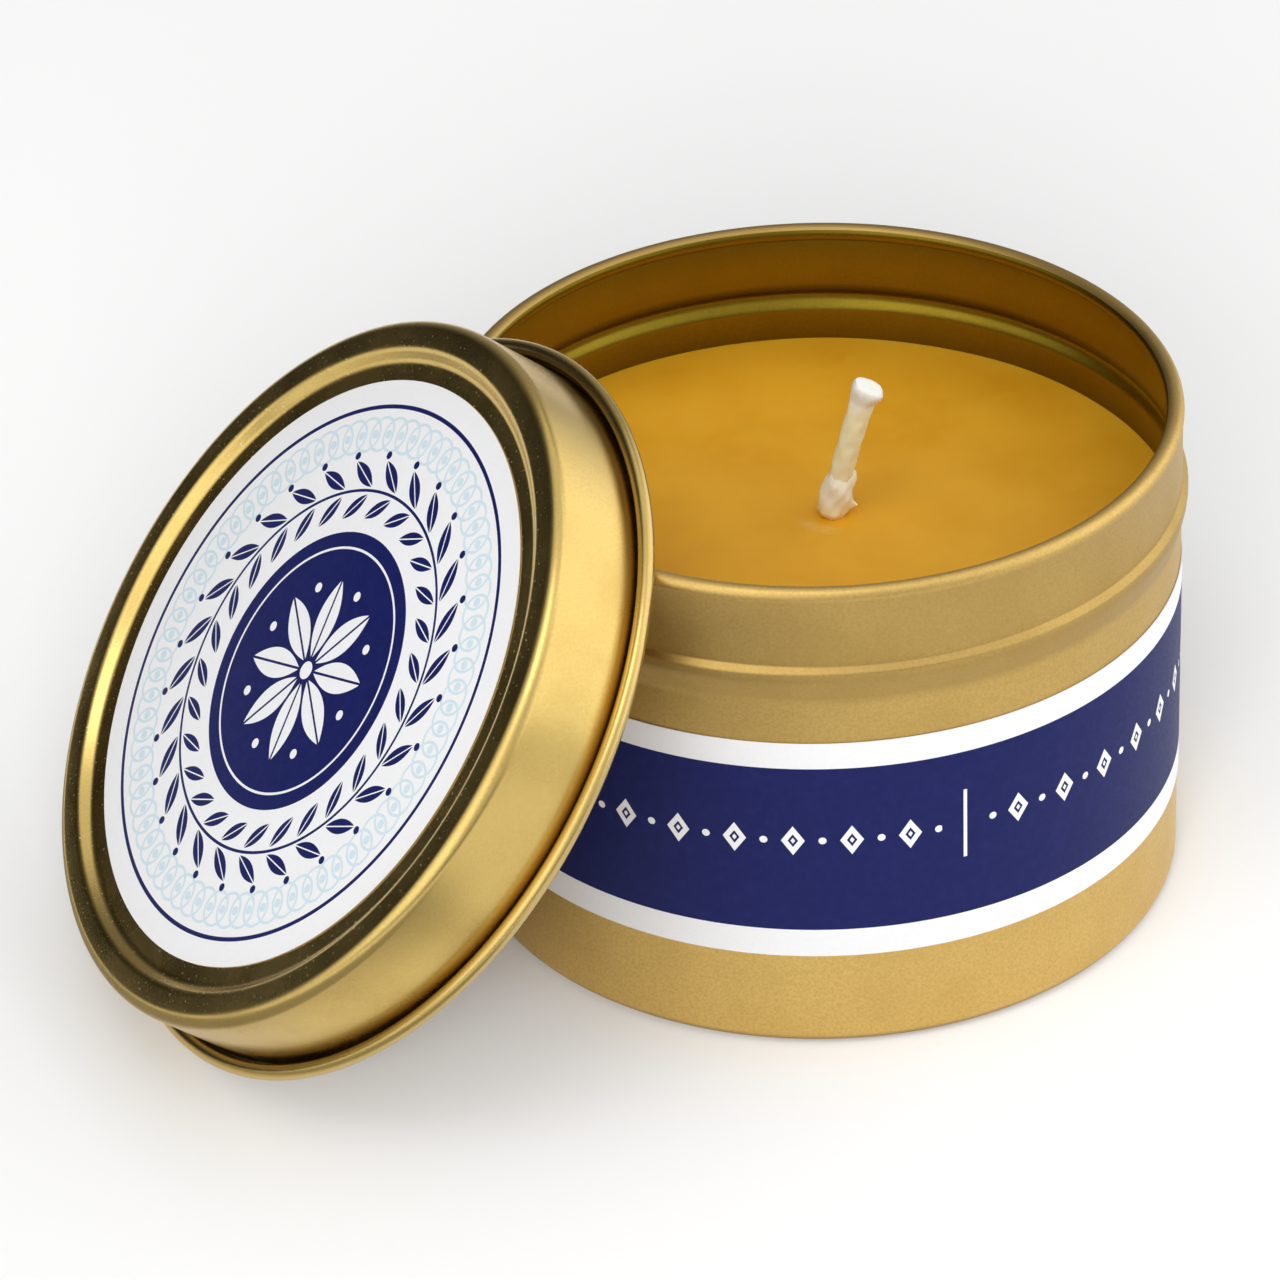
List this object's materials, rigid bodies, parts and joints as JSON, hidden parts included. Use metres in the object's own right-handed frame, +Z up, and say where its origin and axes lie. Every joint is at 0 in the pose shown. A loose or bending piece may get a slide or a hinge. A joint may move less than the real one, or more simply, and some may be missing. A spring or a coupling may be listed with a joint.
{
  "type": "candle tin",
  "caption": "Round gold tinplate candle tin filled with yellow wax round a braided wick, with a paper band and a slip lid that leans on the rim and lifts off.",
  "frame": {"origin": "centre of the tin's flat base, on the surface that it stands on", "axes": "+Z up along the tin's axis, -Y towards the picture's viewer, +X to the viewer's right; the lid leans on the tin's left front"},
  "size_m": [0.1221, 0.1016, 0.0693],
  "materials": {
    "gold_tinplate": "satin gold lacquer on thin tinned steel",
    "yellow_wax": "soft sheen of set wax, slightly mottled",
    "wick_cotton": "braided cotton dipped in wax",
    "tinned_steel": "plain pressed steel",
    "adhesive_foam": "matt foam",
    "band_paper": "satin coated paper, navy with white borders",
    "disc_paper": "satin coated paper, white with navy and pale blue ornament"
  },
  "bodies": {
    "tin": {"tin_body": "gold_tinplate", "wax_fill": "yellow_wax", "wick": "wick_cotton", "wick_tab": "tinned_steel", "adhesive_dot": "adhesive_foam", "side_label": "band_paper"},
    "lid": {"lid": "gold_tinplate", "lid_label": "disc_paper"}
  },
  "joints": [
    {"name": "lid_lift_off", "type": "slide", "parent": "tin", "child": "lid", "axis": [-0.6987, -0.3166, 0.6415], "range_m": [0, 0.07]}
  ]
}
